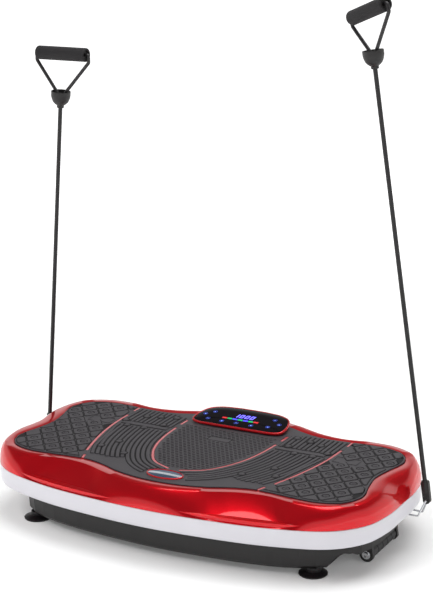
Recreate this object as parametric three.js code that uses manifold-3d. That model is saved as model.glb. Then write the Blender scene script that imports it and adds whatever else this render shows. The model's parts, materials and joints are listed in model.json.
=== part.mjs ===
// Vibration plate with two pull-up resistance bands. Millimetres, +Z up, plate long axis along X,
// display at +Y. The suction feet stand on z = 0.
import * as THREE from "three";
import { mergeVertices } from "three/addons/utils/BufferGeometryUtils.js";
import Module from "manifold-3d";

const wasm = await Module();
wasm.setup();

// ---- driving dimensions ----
const gap = 0.3;                    // clearance between touching pieces
const footTop = 14;
const trayFloor = footTop + gap;    // underside of the base tray
const trayTop = 70;
const wall = 3;
const skirtBottom = 63;             // lower edge of the white band
const seam = 96;                    // joint of the white band and the red shell
const ledge = 132;                  // red rim round the mat
const deck = 129.7;                 // red floor under the mat
const matTop = 133.5;
const frameDeck = 98;               // underside of the platform frame
const frameThick = 3;
const footX = 275;
const footY = 137;

const pivotZ = 60;                  // the platform rocks about a shaft along Y
const pivotR = 8;
const crankZ = 50;
const throwR = 2.1;                 // eccentric offset
const journalX = 150;
const crankX = journalX - throwR;
const pinZ = 86;
const beltY = 60;                   // near side of the belt plane
const beltWide = 16;
const motorX = 62;
const motorZ = 50;
const motorPulleyR = 13;
const crankPulleyR = 26;

const rollerX = 337;
const rollerZ = 15;
const rollerR = 11;
const rollerHalf = 49.5;
const lugR = 13;

const tubeR = 3.9;                  // resistance band
const ringWire = 1.6;
const barX = 371;                   // the ring's bar, just inside the skirt at either end
const barY = 50;
const barZ = 60.3;
const ringFlat = 20;                // the ring runs flat this far before it turns up

// Plan outlines, one quarter each, from the end (+X) round to the back middle (+Y).
const seamQuarter = [[380, 0], [379, 61], [364, 122], [320, 170], [222, 204], [110, 220], [0, 226]];
const creaseQuarter = [[353, 0], [361, 70], [343, 134], [300, 160], [250, 164], [200, 156],
  [150, 163], [100, 183], [50, 197], [0, 203]];
const matQuarter = [[327, 0], [334, 46], [343, 92], [324, 130], [283, 146], [239, 145], [195, 141],
  [160, 141], [124, 151], [88, 167], [44, 178], [0, 181]];
// The base narrows to the roller at +X.
const baseHalf = [[350, 0], [348, 45], [336, 92], [299, 138], [246, 166], [179, 182], [90, 191],
  [0, 195], [-90, 190], [-179, 180], [-240, 166], [-288, 142], [-308, 95], [-311, 0]];
// Display pod, right half, from the front middle to the back middle, in its own tilted plane.
const podHalf = [[0, -8], [48, -8], [78, -6.5], [91, 0], [94.5, 15], [92, 36], [83, 56], [64, 68],
  [34, 73], [0, 74]];

const group = new THREE.Group();
group.name = "vibration_plate";

const finish = {
  redGloss: { color: 0xa30b16, roughness: 0.15, metalness: 0.35 },
  white: { color: 0xe4e3e6, roughness: 0.35, metalness: 0 },
  blackPlastic: { color: 0x211f20, roughness: 0.5, metalness: 0 },
  rubber: { color: 0x3a393c, roughness: 0.85, metalness: 0 },
  softRubber: { color: 0x171617, roughness: 0.8, metalness: 0 },
  foam: { color: 0x252324, roughness: 0.95, metalness: 0 },
  steel: { color: 0xb8bbc0, roughness: 0.3, metalness: 1 },
  darkSteel: { color: 0x55585c, roughness: 0.45, metalness: 1 },
  zinc: { color: 0x9a9da1, roughness: 0.5, metalness: 0.9 },
  glass: { color: 0x060609, roughness: 0.08, metalness: 0 },
  board: { color: 0x14512f, roughness: 0.6, metalness: 0 },
  badge: { color: 0x8d9aa6, roughness: 0.3, metalness: 0.7 },
  switchRed: { color: 0xb01712, roughness: 0.4, metalness: 0 },
};

// ---- helpers ----
const v = (x, y, z = 0) => new THREE.Vector3(x, y, z);

function add(name, geometry, look) {
  geometry.computeVertexNormals();
  const mesh = new THREE.Mesh(geometry, new THREE.MeshStandardMaterial({ ...finish[look], name: look }));
  mesh.name = name;
  group.add(mesh);
}

function fromArrays(points, faces) {
  const g = new THREE.BufferGeometry();
  g.setAttribute("position", new THREE.Float32BufferAttribute(points.flatMap((p) => [p.x, p.y, p.z]), 3));
  g.setIndex(faces);
  return g;
}

function solid(geometry) {
  const bare = new THREE.BufferGeometry();
  bare.setAttribute("position", geometry.getAttribute("position").clone());
  if (geometry.index) bare.setIndex(geometry.index.clone());
  const welded = mergeVertices(bare, 1e-4);
  return new wasm.Manifold(new wasm.Mesh({
    numProp: 3,
    vertProperties: new Float32Array(welded.getAttribute("position").array),
    triVerts: new Uint32Array(welded.index.array),
  }));
}

function surface(manifold) {
  const mesh = manifold.getMesh();
  const g = new THREE.BufferGeometry();
  g.setAttribute("position", new THREE.BufferAttribute(new Float32Array(mesh.vertProperties), 3));
  g.setIndex(new THREE.BufferAttribute(new Uint32Array(mesh.triVerts), 1));
  return g.toNonIndexed();
}

function join(...parts) {
  return surface(parts.map(solid).reduce((a, b) => a.add(b)));
}

function cut(body, ...tools) {
  return surface(tools.map(solid).reduce((a, b) => a.subtract(b), solid(body)));
}

function box(x0, x1, y0, y1, z0, z1) {
  const g = new THREE.BoxGeometry(x1 - x0, y1 - y0, z1 - z0);
  return g.translate((x0 + x1) / 2, (y0 + y1) / 2, (z0 + z1) / 2);
}

// A round bar from a to b.
function bar(a, b, radius, sides = 24, radiusEnd = radius) {
  const length = a.distanceTo(b);
  const g = new THREE.CylinderGeometry(radiusEnd, radius, length, sides);
  const turn = new THREE.Quaternion().setFromUnitVectors(v(0, 1, 0), b.clone().sub(a).normalize());
  g.applyQuaternion(turn);
  const mid = a.clone().add(b).multiplyScalar(0.5);
  return g.translate(mid.x, mid.y, mid.z);
}

// A turned piece: profile points are [radius, height], starting and ending on the axis.
function turned(profile, sides, place) {
  const g = new THREE.LatheGeometry(profile.map(([r, h]) => new THREE.Vector2(r, h)), sides);
  g.rotateX(Math.PI / 2);
  return place ? g.applyMatrix4(place) : g;
}

// A flat shape in the X-Z plane pulled along Y.
function pulledAlongY(shape, y0, y1) {
  const g = new THREE.ExtrudeGeometry(shape, { depth: y1 - y0, bevelEnabled: false, curveSegments: 10 });
  g.rotateX(Math.PI / 2);
  return g.translate(0, y1, 0);
}

function pulledUp(shape, z0, z1, curveSegments = 10) {
  const g = new THREE.ExtrudeGeometry(shape, { depth: z1 - z0, bevelEnabled: false, curveSegments });
  return g.translate(0, 0, z0);
}

function mirrored(points, count) {
  const back = points.slice(1, -1).reverse().map(([x, y]) => [x, -y]);
  const loop = [...points, ...back].map(([x, y]) => v(x, y));
  const curve = new THREE.CatmullRomCurve3(loop, true, "centripetal");
  curve.arcLengthDivisions = 1200;
  return curve.getSpacedPoints(count).slice(0, count);
}

function fourWay(quarter, count) {
  const half = [...quarter, ...quarter.slice(0, -1).reverse().map(([x, y]) => [-x, y])];
  return mirrored(half, count);
}

// Moves every point of a loop inward by d; z stays.
function inset(loop, d) {
  const n = loop.length;
  return loop.map((p, i) => {
    const along = loop[(i + 1) % n].clone().sub(loop[(i + n - 1) % n]).setZ(0).normalize();
    return v(p.x - along.y * d, p.y + along.x * d, p.z);
  });
}

const at = (loop, z) => loop.map((p) => v(p.x, p.y, z));

// A skin over a stack of loops; ends are closed with fans, or the last loop joins the first.
function skin(rings, closed = false) {
  const n = rings[0].length;
  const points = rings.flat();
  const faces = [];
  const last = closed ? rings.length : rings.length - 1;
  for (let i = 0; i < last; i++) {
    const low = i * n;
    const high = ((i + 1) % rings.length) * n;
    for (let j = 0; j < n; j++) {
      const k = (j + 1) % n;
      faces.push(low + j, low + k, high + k, low + j, high + k, high + j);
    }
  }
  if (!closed) {
    for (const [ring, base, down] of [[rings[0], 0, true], [rings.at(-1), (rings.length - 1) * n, false]]) {
      const hub = points.length;
      points.push(ring.reduce((s, p) => s.add(p), v(0, 0, 0)).multiplyScalar(1 / n));
      for (let j = 0; j < n; j++) {
        const k = (j + 1) % n;
        if (down) faces.push(hub, base + k, base + j);
        else faces.push(hub, base + j, base + k);
      }
    }
  }
  return fromArrays(points, faces);
}

// A round wire or tube along a path; frames are carried along so it never twists.
function sweep(path, radius, sides, closed = false) {
  const n = path.length;
  const step = (i) => {
    const next = closed ? path[(i + 1) % n] : path[Math.min(i + 1, n - 1)];
    const before = closed ? path[(i + n - 1) % n] : path[Math.max(i - 1, 0)];
    return next.clone().sub(before).normalize();
  };
  const first = step(0);
  let side = Math.abs(first.z) < 0.8 ? v(0, 0, 1).cross(first) : v(1, 0, 0).cross(first);
  side.normalize();
  const rings = [];
  for (let i = 0; i < n; i++) {
    const t = step(i);
    side = side.clone().addScaledVector(t, -side.dot(t)).normalize();
    const up = t.clone().cross(side);
    const ring = [];
    for (let j = 0; j < sides; j++) {
      const a = (2 * Math.PI * j) / sides;
      const across = side.clone().multiplyScalar(radius * Math.cos(a));
      ring.push(path[i].clone().add(across).addScaledVector(up, radius * Math.sin(a)));
    }
    rings.push(ring);
  }
  return skin(rings, closed);
}

// A polyline with its inner corners rounded.
function rounded(corners, radius, steps, closed = false) {
  const out = [];
  const n = corners.length;
  for (let i = 0; i < n; i++) {
    if (!closed && (i === 0 || i === n - 1)) {
      out.push(corners[i].clone());
      continue;
    }
    const p = corners[i];
    const a = corners[(i + n - 1) % n].clone().sub(p).normalize();
    const b = corners[(i + 1) % n].clone().sub(p).normalize();
    const half = Math.acos(THREE.MathUtils.clamp(a.dot(b), -1, 1)) / 2;
    const reach = radius / Math.tan(half);
    const from = p.clone().addScaledVector(a, reach);
    const to = p.clone().addScaledVector(b, reach);
    for (let s = 0; s <= steps; s++) {
      const u = s / steps;
      const q = from.clone().multiplyScalar((1 - u) * (1 - u));
      out.push(q.addScaledVector(p, 2 * u * (1 - u)).addScaledVector(to, u * u));
    }
  }
  return out;
}

// ---- base: tray, chassis, feet ----
const base = mirrored(baseHalf, 64);
const tray = skin([
  at(inset(base, 4), trayFloor), at(base, trayFloor + 5), at(inset(base, -3), trayTop),
  at(inset(base, -3 + wall), trayTop), at(inset(base, wall), trayFloor + 7),
  at(inset(base, 4 + wall), trayFloor + wall),
]);
// The floor's outline rises over the roller end as an arch.
const arch = new THREE.Shape([
  [292, 5], [303, 22], [313, 33], [322, 36.5], [331, 33], [336, 28.5], [365, 28.5], [365, 5],
].map(([x, z]) => new THREE.Vector2(x, z)));
const lugPlate = (y0, y1) => {
  const s = new THREE.Shape();
  s.moveTo(rollerX + lugR * 0.94, rollerZ - 4);
  s.lineTo(345, 46);
  s.lineTo(322, 46);
  s.lineTo(rollerX - lugR * 0.97, rollerZ + 3);
  s.absarc(rollerX, rollerZ, lugR, Math.PI * 0.92, Math.PI * 1.9, false);
  return pulledAlongY(s, y0, y1);
};
const axleR = 4;
const inletX = 118;
const inletHalf = 46;
const archRoof = new THREE.Shape([
  [288, 5 + wall], [300, 25], [311, 36], [322, 39.8], [332, 36.3], [337, 31.8], [349, 31.8], [344, 40],
  [322, 44], [306, 40], [294, 30], [284, 14],
].map(([x, z]) => new THREE.Vector2(x, z)));
let trayBody = solid(tray).subtract(solid(pulledAlongY(arch, -150, 150)));
const trayInside = solid(skin([at(inset(base, 2), trayFloor + 1), at(inset(base, 1.5), 60)]));
trayBody = trayBody.add(solid(pulledAlongY(archRoof, -160, 160)).intersect(trayInside));
for (const s of [-1, 1]) {
  const y = [s * (rollerHalf + 0.8), s * 57].sort((a, b) => a - b);
  trayBody = trayBody.add(solid(lugPlate(y[0], y[1])));
}
trayBody = trayBody.subtract(solid(bar(v(rollerX, -70, rollerZ), v(rollerX, 70, rollerZ), axleR + gap, 20)));
trayBody = trayBody.subtract(solid(box(rollerX - lugR, 353, -rollerHalf - 0.8, rollerHalf + 0.8, 0, 28.6)));
trayBody = trayBody.subtract(solid(box(inletX - inletHalf, inletX + inletHalf, 170, 205, 26, 54)));
add("base_tray", surface(trayBody), "blackPlastic");

const chassisZ = trayFloor + wall + gap;
const chassisTop = chassisZ + 3;
const chassisShape = new THREE.Shape();
chassisShape.moveTo(-270, -60).lineTo(-270, 60).lineTo(-190, 130).lineTo(190, 130).lineTo(255, 90);
chassisShape.lineTo(255, -90).lineTo(190, -130).lineTo(-190, -130).closePath();
add("chassis_plate", pulledUp(chassisShape, chassisZ, chassisTop), "zinc");

// Suction foot: a dished underside with a flat rim that rests on the floor.
const footProfile = [[0, 2.2], [10, 1.8], [17, 0.6], [19, 0], [24.2, 0], [25, 0.8], [25, 2.8], [20, 5],
  [14, 7.5], [12, 10], [12, footTop], [0, footTop]];
for (const [name, x, y] of [["foot_front_left", -footX, -footY], ["foot_front_right", footX, -footY],
  ["foot_rear_left", -footX, footY], ["foot_rear_right", footX, footY]]) {
  add(name, turned(footProfile, 18, new THREE.Matrix4().makeTranslation(x, y, 0)), "softRubber");
}

// ---- transport roller ----
const ribs = 5;
const rollerProfile = [[0, -rollerHalf], [rollerR - 1, -rollerHalf]];
for (let i = 0; i < ribs; i++) {
  const a = -rollerHalf + ((i + 0.1) * 2 * rollerHalf) / ribs;
  const b = -rollerHalf + ((i + 0.8) * 2 * rollerHalf) / ribs;
  rollerProfile.push([rollerR - 0.8, a - 0.6], [rollerR, a], [rollerR, b], [rollerR - 0.8, b + 0.6]);
}
rollerProfile.push([rollerR - 1, rollerHalf], [0, rollerHalf]);
const alongY = new THREE.Matrix4().makeRotationX(-Math.PI / 2).setPosition(rollerX, 0, rollerZ);
const rollerBlank = turned(rollerProfile, 18, alongY);
const rollerBore = bar(v(rollerX, -60, rollerZ), v(rollerX, 60, rollerZ), axleR + gap, 20);
add("transport_roller", cut(rollerBlank, rollerBore), "softRubber");
add("roller_axle", bar(v(rollerX, -57, rollerZ), v(rollerX, 57, rollerZ), axleR, 20), "steel");
for (const [name, s] of [["axle_bolt_front", -1], ["axle_bolt_rear", 1]]) {
  const y0 = s * (57 + gap);
  const washer = bar(v(rollerX, y0, rollerZ), v(rollerX, y0 + s * 1.4, rollerZ), 7.6, 28);
  const head = bar(v(rollerX, y0 + s * 1, rollerZ), v(rollerX, y0 + s * 5.6, rollerZ), 5.4, 28, 5);
  const socket = bar(v(rollerX, y0 + s * 3, rollerZ), v(rollerX, y0 + s * 7, rollerZ), 2.9, 6);
  add(name, cut(join(washer, head), socket), "steel");
}

// ---- drive: motor, belt, crank, connecting rod ----
const motorR = 29;
const motorBody = join(
  bar(v(motorX, -62, motorZ), v(motorX, 44, motorZ), motorR, 36),
  bar(v(motorX, 43, motorZ), v(motorX, 50, motorZ), 15, 24),
  box(motorX - 24, motorX + 24, -50, -36, chassisTop + gap, motorZ),
  box(motorX - 24, motorX + 24, 20, 34, chassisTop + gap, motorZ),
);
add("drive_motor", motorBody, "darkSteel");
const pulley = (x, z, r, hub, bore) => {
  const p = [[bore, 0], [r + 2, 0], [r + 2, 1.2], [r, 1.6], [r, beltWide - 1.6], [r + 2, beltWide - 1.2],
    [r + 2, beltWide], [hub, beltWide], [hub, beltWide + 3], [bore, beltWide + 3], [bore, 0]];
  return turned(p, 24, new THREE.Matrix4().makeRotationX(-Math.PI / 2).setPosition(x, beltY, z));
};
const motorShaftR = 5;
const pulleyStock = (x, z, r, hub, shaft, from) => join(
  pulley(x, z, r, hub, shaft - 1), bar(v(x, from, z), v(x, beltY + beltWide + 3, z), shaft, 20),
);
add("motor_pulley", pulleyStock(motorX, motorZ, motorPulleyR, 9, motorShaftR, 50 + gap), "steel");

const shaftR = 8;
const journalR = 10;
const crank = join(
  bar(v(crankX, -50, crankZ), v(crankX, beltY - gap, crankZ), shaftR, 28),
  bar(v(crankX, -14, crankZ), v(crankX, -9.5, crankZ), 13.5, 28),
  bar(v(crankX, 9.5, crankZ), v(crankX, 14, crankZ), 13.5, 28),
  bar(v(journalX, -10, crankZ), v(journalX, 10, crankZ), journalR, 28),
);
add("crankshaft", crank, "steel");
const crankPulley = cut(
  turned([[0, 0], [crankPulleyR + 2, 0], [crankPulleyR + 2, 1.2], [crankPulleyR, 1.6],
    [crankPulleyR, beltWide - 1.6], [crankPulleyR + 2, beltWide - 1.2], [crankPulleyR + 2, beltWide],
    [13, beltWide], [13, beltWide + 4], [0, beltWide + 4]], 30,
  new THREE.Matrix4().makeRotationX(-Math.PI / 2).setPosition(crankX, beltY, crankZ)),
  ...[0, 1, 2, 3, 4].map((i) => {
    const a = (2 * Math.PI * i) / 5;
    const x = crankX + 18.5 * Math.cos(a);
    const z = crankZ + 18.5 * Math.sin(a);
    return bar(v(x, beltY - 5, z), v(x, beltY + beltWide + 5, z), 3.6, 14);
  }),
);
add("crank_pulley", crankPulley, "darkSteel");

// Flat belt: the two pulleys' common outline, with the same arcs inside.
function beltLoop(extra) {
  const dx = crankX - motorX;
  const dz = crankZ - motorZ;
  const d = Math.hypot(dx, dz);
  const r1 = motorPulleyR + extra;
  const r2 = crankPulleyR + extra;
  const lean = Math.atan2(dz, dx);
  const spread = Math.acos((r1 - r2) / d);
  const loop = [];
  const arc = (x, z, r, from, to, steps) => {
    for (let i = 0; i <= steps; i++) {
      const a = from + ((to - from) * i) / steps;
      loop.push(v(x + r * Math.cos(a), 0, z + r * Math.sin(a)));
    }
  };
  arc(crankX, crankZ, r2, lean - spread, lean + spread, 22);
  arc(motorX, motorZ, r1, lean + spread, lean + 2 * Math.PI - spread, 12);
  return loop;
}
const beltAt = (loop, y) => loop.map((p) => v(p.x, y, p.z));
const beltOut = beltLoop(2.2);
const beltIn = beltLoop(gap);
const beltGeometry = skin([
  beltAt(beltOut, beltY + beltWide - 2.2), beltAt(beltOut, beltY + 2.2),
  beltAt(beltIn, beltY + 2.2), beltAt(beltIn, beltY + beltWide - 2.2),
], true);
add("drive_belt", beltGeometry, "softRubber");

const bearing = (y, r, x, z, top) => {
  const shape = new THREE.Shape();
  shape.moveTo(x - 24, chassisTop + gap).lineTo(x + 24, chassisTop + gap).lineTo(x + 24, chassisTop + 8);
  shape.lineTo(x + top, z).absarc(x, z, top, 0, Math.PI, false).lineTo(x - 24, chassisTop + 8).closePath();
  const hole = new THREE.Path();
  hole.absarc(x, z, r + gap, 0, Math.PI * 2, true);
  shape.holes.push(hole);
  return pulledAlongY(shape, y - 7, y + 7);
};
add("bearing_block_front", bearing(-38, shaftR, crankX, crankZ, 15), "zinc");
add("bearing_block_rear", bearing(38, shaftR, crankX, crankZ, 15), "zinc");

const rodBore = journalR + 5.6;
const rodShape = new THREE.Shape();
rodShape.absarc(journalX, crankZ, rodBore + 4.6, Math.PI * 0.64, Math.PI * 2.36, false);
rodShape.lineTo(journalX + 9, pinZ - 5);
rodShape.absarc(journalX, pinZ, 9, -Math.PI * 0.17, Math.PI * 1.17, false);
rodShape.closePath();
for (const [z, r] of [[crankZ, rodBore], [pinZ, 5 + gap]]) {
  const hole = new THREE.Path();
  hole.absarc(journalX, z, r, 0, Math.PI * 2, true);
  rodShape.holes.push(hole);
}
add("connecting_rod", pulledAlongY(rodShape, -8.5, 8.5), "steel");

// ---- pivot, stops, electrics ----
add("pivot_pedestal_front", bearing(-105, pivotR, 0, pivotZ, 16), "zinc");
add("pivot_pedestal_rear", bearing(105, pivotR, 0, pivotZ, 16), "zinc");
add("pivot_shaft", bar(v(0, -122, pivotZ), v(0, 122, pivotZ), pivotR, 28), "steel");
for (const [name, x, y] of [["bump_stop_front_left", -205, -95], ["bump_stop_front_right", 205, -95],
  ["bump_stop_rear_left", -205, 95], ["bump_stop_rear_right", 205, 95]]) {
  const stop = [[0, chassisTop + gap], [20, chassisTop + gap], [20, 26], [12, 29], [12, 74], [16, 77],
    [16, 89], [11, 92.5], [0, 92.5]];
  add(name, turned(stop, 14, new THREE.Matrix4().makeTranslation(x, y, 0)), "softRubber");
}
const boardZ = chassisTop + gap;
add("control_board", join(
  box(-175, -75, -50, 40, boardZ, boardZ + 1.8),
  box(-165, -145, -40, 30, boardZ + 1.5, boardZ + 28),
  box(-128, -98, -38, -10, boardZ + 1.5, boardZ + 22),
  bar(v(-118, 12, boardZ + 1), v(-118, 12, boardZ + 26), 10, 20),
  bar(v(-92, 14, boardZ + 1), v(-92, 14, boardZ + 18), 7, 20),
), "board");

// Mains inlet and rocker switch share a panel let into the back of the tray.
const panelBack = 193;
const inletPanel = cut(
  box(inletX - inletHalf + gap, inletX + inletHalf - gap, 176, panelBack, 26 + gap, 54 - gap),
  box(inletX - 38, inletX - 10, 184, panelBack + 1, 31, 49),
  box(inletX + 10, inletX + 36, 180, panelBack + 1, 31, 49),
);
const pins = [-31, -24, -17].map((dx) => box(inletX + dx - 1, inletX + dx + 1, 183, 190, 37, 43));
add("inlet_panel", join(inletPanel, ...pins), "blackPlastic");
// The rocker stands proud at its lower half.
const rockerSection = new THREE.Shape([
  [184, 32.4], [194.6, 32.4], [192.4, 40], [192.4, 41], [190, 47.6], [184, 47.6], [181.4, 40],
].map(([y, z]) => new THREE.Vector2(y, z)));
const rockerGeometry = new THREE.ExtrudeGeometry(rockerSection, { depth: 24, bevelEnabled: false });
const lieAlongX = new THREE.Matrix4().makeBasis(v(0, 1, 0), v(0, 0, 1), v(1, 0, 0));
rockerGeometry.applyMatrix4(lieAlongX.setPosition(inletX + 11, 0, 0));
add("power_switch", rockerGeometry, "switchRed");

// ---- platform: shell, skirt, frame, mat ----
const around = 80;
const seamLoop = fourWay(seamQuarter, around);
const creaseLoop = fourWay(creaseQuarter, around);
const matLoop = fourWay(matQuarter, around);

// The side between the rim and the seam bulges where it is narrow and hollows where it is wide.
function sideRings(topLoop, bottomLoop, zTop, zBottom, steps) {
  const rings = [];
  for (let i = steps; i >= 0; i--) {
    const a = (Math.PI / 2) * (i / steps);
    rings.push(topLoop.map((p, j) => {
      const q = bottomLoop[j];
      const hollow = 0.75 * THREE.MathUtils.smoothstep(Math.hypot(p.x - q.x, p.y - q.y), 26, 50);
      const out = (1 - hollow) * Math.sin(a) + hollow * (1 - Math.cos(a));
      const down = (1 - hollow) * (1 - Math.cos(a)) + hollow * Math.sin(a);
      return v(p.x + (q.x - p.x) * out, p.y + (q.y - p.y) * out, zTop + (zBottom - zTop) * down);
    }));
  }
  return rings;
}
const recess = inset(matLoop, -1.2);
const shellOut = sideRings(creaseLoop, at(seamLoop, 0), ledge, seam + gap, 5);
const shellIn = sideRings(inset(creaseLoop, 4), inset(seamLoop, 3), deck - 3, seam + gap, 3).reverse();
const hubRings = (z) => [0.6, 0.2].map((k) => recess.map((p) => v(p.x * k, p.y * k, z)));
const shellRings = [
  ...hubRings(deck - 3).reverse(), ...shellIn,
  ...shellOut, at(recess, ledge), at(recess, deck), ...hubRings(deck),
];

const bandRings = [
  at(inset(seamLoop, 4.8), skirtBottom), at(inset(seamLoop, 2.6), skirtBottom + 0.8),
  at(inset(seamLoop, 1.4), skirtBottom + 4), at(inset(seamLoop, 0.2), seam - 1),
  at(inset(seamLoop, 1), seam), at(inset(seamLoop, 4), seam), at(inset(seamLoop, 4.8), skirtBottom + 6),
];
add("side_band", skin(bandRings, true), "white");

const frameLoop = inset(seamLoop, 22);
const frameShape = new THREE.Shape(frameLoop.map((p) => new THREE.Vector2(p.x, p.y)));
for (const [x, y] of [[-250, 0], [250, 0], [-90, 120], [-90, -120]]) {
  const hole = new THREE.Path();
  hole.absellipse(x, y, 42, 30, 0, Math.PI * 2, true);
  frameShape.holes.push(hole);
}
const flangeTop = frameDeck - gap;
const ear = (y) => {
  const s = new THREE.Shape();
  s.moveTo(-34, flangeTop - 1).lineTo(-15, pivotZ - 2);
  s.absarc(0, pivotZ, 15.5, Math.PI * 1.05, Math.PI * 1.95, false).lineTo(34, flangeTop - 1).closePath();
  const hole = new THREE.Path();
  hole.absarc(0, pivotZ, pivotR + gap, 0, Math.PI * 2, true);
  s.holes.push(hole);
  return pulledAlongY(s, y - 5, y + 5);
};
const clevis = (y) => {
  const s = new THREE.Shape();
  s.moveTo(journalX - 16, flangeTop - 1).lineTo(journalX - 11, pinZ);
  s.absarc(journalX, pinZ, 11, Math.PI, Math.PI * 2, false).lineTo(journalX + 16, flangeTop - 1).closePath();
  const hole = new THREE.Path();
  hole.absarc(journalX, pinZ, 5 + gap, 0, Math.PI * 2, true);
  s.holes.push(hole);
  return pulledAlongY(s, y - 3, y + 3);
};
add("platform_frame", pulledUp(frameShape, frameDeck, frameDeck + frameThick), "zinc");
// Hangers and clevis are bolted under the frame by their flanges.
const flange = (x, halfX, y, halfY) => (
  box(x - halfX, x + halfX, y - halfY, y + halfY, flangeTop - 3, flangeTop)
);
add("pivot_hanger_front", join(ear(-75), flange(0, 44, -75, 14)), "zinc");
add("pivot_hanger_rear", join(ear(75), flange(0, 44, 75, 14)), "zinc");
const rodNotch = box(journalX - 15, journalX + 15, -9.5, 9.5, 60, flangeTop - 1.6);
add("rod_clevis", cut(join(clevis(-13), clevis(13), flange(journalX, 22, 0, 16)), rodNotch), "zinc");
add("conrod_pin", bar(v(journalX, -20, pinZ), v(journalX, 20, pinZ), 5, 20), "steel");

// Narrow slots in the mat show ribs of the red shell: near the ends and round the middle pad.
function ribbon(points, half, z0, z1) {
  const curve = new THREE.CatmullRomCurve3(points.map(([x, y]) => v(x, y)), false, "centripetal");
  const mid = curve.getSpacedPoints(Math.max(3, Math.round(curve.getLength() / 14)));
  const left = [];
  const right = [];
  mid.forEach((p, i) => {
    const t = mid[Math.min(i + 1, mid.length - 1)].clone().sub(mid[Math.max(i - 1, 0)]).normalize();
    left.push(new THREE.Vector2(p.x - t.y * half, p.y + t.x * half));
    right.push(new THREE.Vector2(p.x + t.y * half, p.y - t.x * half));
  });
  return pulledUp(new THREE.Shape([...left, ...right.reverse()]), z0, z1);
}
const slotHalf = 2.9;
const ribHalf = 2.4;
const ribTop = matTop - 0.5;
const slots = [
  [[222, 150], [222, 119]],
  [[221, 96], [219, 45], [213, 0], [202, -52], [187, -105]],
  [[179, -124], [170, -150]],
  [[104, 118], [104, 91]],
  [[103, 72], [100, 30], [91, -20], [76, -60], [50, -98], [10, -119]],
];
const bothSides = (half, z0, z1) => slots.flatMap((points) => (
  [1, -1].map((s) => ribbon(points.map(([x, y]) => [s * x, y]), half, z0, z1))
));
const slotTools = bothSides(slotHalf, deck - 1, matTop + 1);
const ribBound = skin([at(inset(matLoop, -0.6), deck - 2), at(inset(matLoop, -0.6), matTop + 2)]);
const shellRibs = solid(ribBound).intersect(
  bothSides(ribHalf, deck - 1, ribTop).map(solid).reduce((a, b) => a.add(b)),
);
add("top_shell", surface(solid(skin(shellRings)).add(shellRibs)), "redGloss");
const matRings = [at(matLoop, deck + gap), at(matLoop, matTop - 0.6), at(inset(matLoop, 0.8), matTop)];
const matBlank = skin(matRings);
const neckTool = box(-77, 77, 139, 190, deck - 1, matTop + 2);
const studs = [[207, 66], [180, 98], [155, 107], [125, 115], [129, 70], [154, 42], [190, 42], [157, -42],
  [175, -75], [118, -91]];
const stud = (x, y) => bar(v(x, y, matTop - 1), v(x, y, matTop + 1.6), 5.2, 10, 3.4);
const matParts = studs.flatMap(([x, y]) => [solid(stud(x, y)), solid(stud(-x, y))]);
let matBody = solid(matBlank);
for (const s of matParts) matBody = matBody.add(s);
for (const t of [...slotTools, neckTool]) matBody = matBody.subtract(solid(t));
add("rubber_mat", surface(matBody), "rubber");

const badgeOval = new THREE.Shape();
badgeOval.absellipse(0, -150, 35, 19.5, 0, Math.PI * 2, false);
const badgeBlank = pulledUp(badgeOval, matTop + gap, matTop + 2.4, 24);
add("badge", badgeBlank, "badge");

// ---- display pod ----
const podTilt = THREE.MathUtils.degToRad(6.3);
const podPlace = new THREE.Matrix4().makeRotationX(podTilt).setPosition(0, 114, 135.4);
const podLoop = (() => {
  const left = podHalf.slice(1, -1).reverse().map(([x, y]) => [-x, y]);
  const loop = [...podHalf, ...left].map(([x, y]) => v(x, y));
  const curve = new THREE.CatmullRomCurve3(loop, true, "centripetal");
  return curve.getSpacedPoints(44).slice(0, 44);
})();
const podThick = 5.2;
const podRings = [
  at(inset(podLoop, 2.2), 0), at(inset(podLoop, 0.6), 0.5), at(podLoop, 1.8), at(podLoop, podThick - 1.5),
  at(inset(podLoop, 1.2), podThick), at(inset(podLoop, 3), podThick - 0.2),
  at(inset(podLoop, 3.2), podThick - 3.6),
];
const bezel = skin(podRings).applyMatrix4(podPlace);
// The pod stands on a neck on the red rim.
const neckBlock = box(-76, 76, 26, 69, -12, 1).applyMatrix4(podPlace);
const aboveRim = box(-90, 90, 130, 200, ledge + gap, 160);
add("display_bezel", surface(solid(neckBlock).intersect(solid(aboveRim)).add(solid(bezel))), "redGloss");
const boardRings = [at(inset(podLoop, 6), podThick - 3.3), at(inset(podLoop, 6), podThick - 2.2)];
add("display_board", skin(boardRings).applyMatrix4(podPlace), "board");
const glassRings = [at(inset(podLoop, 3.6), podThick - 1.9), at(inset(podLoop, 3.6), podThick - 0.5),
  at(inset(podLoop, 4.2), podThick - 0.2)];
add("display_glass", skin(glassRings).applyMatrix4(podPlace), "glass");

// ---- resistance bands ----
// Where each band stands: the ring's apex, the foot of the cup, the grip's middle and its direction.
const pulls = {
  left: {
    side: -1,
    hole: v(-396, 88.5, 77),
    cup: v(-342.6, 84, 712.2),
    grip: v(-334.5, 84.2, 811.6),
    along: v(0.998, -0.06, 0.01),
  },
  right: {
    side: 1,
    hole: v(403, 50, 88.5),
    cup: v(295.3, 50, 822.8),
    grip: v(282.3, 50.3, 916.3),
    along: v(0.781, -0.547, 0.302),
  },
};
const clipLong = 41;
const holeUp = 6.5;                 // hole centre above the clip's lower end
const cupHigh = 31;
const cupR = 18;
const gripLong = 108;
const gripR = 12.6;
const strapR = 3.2;

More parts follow.
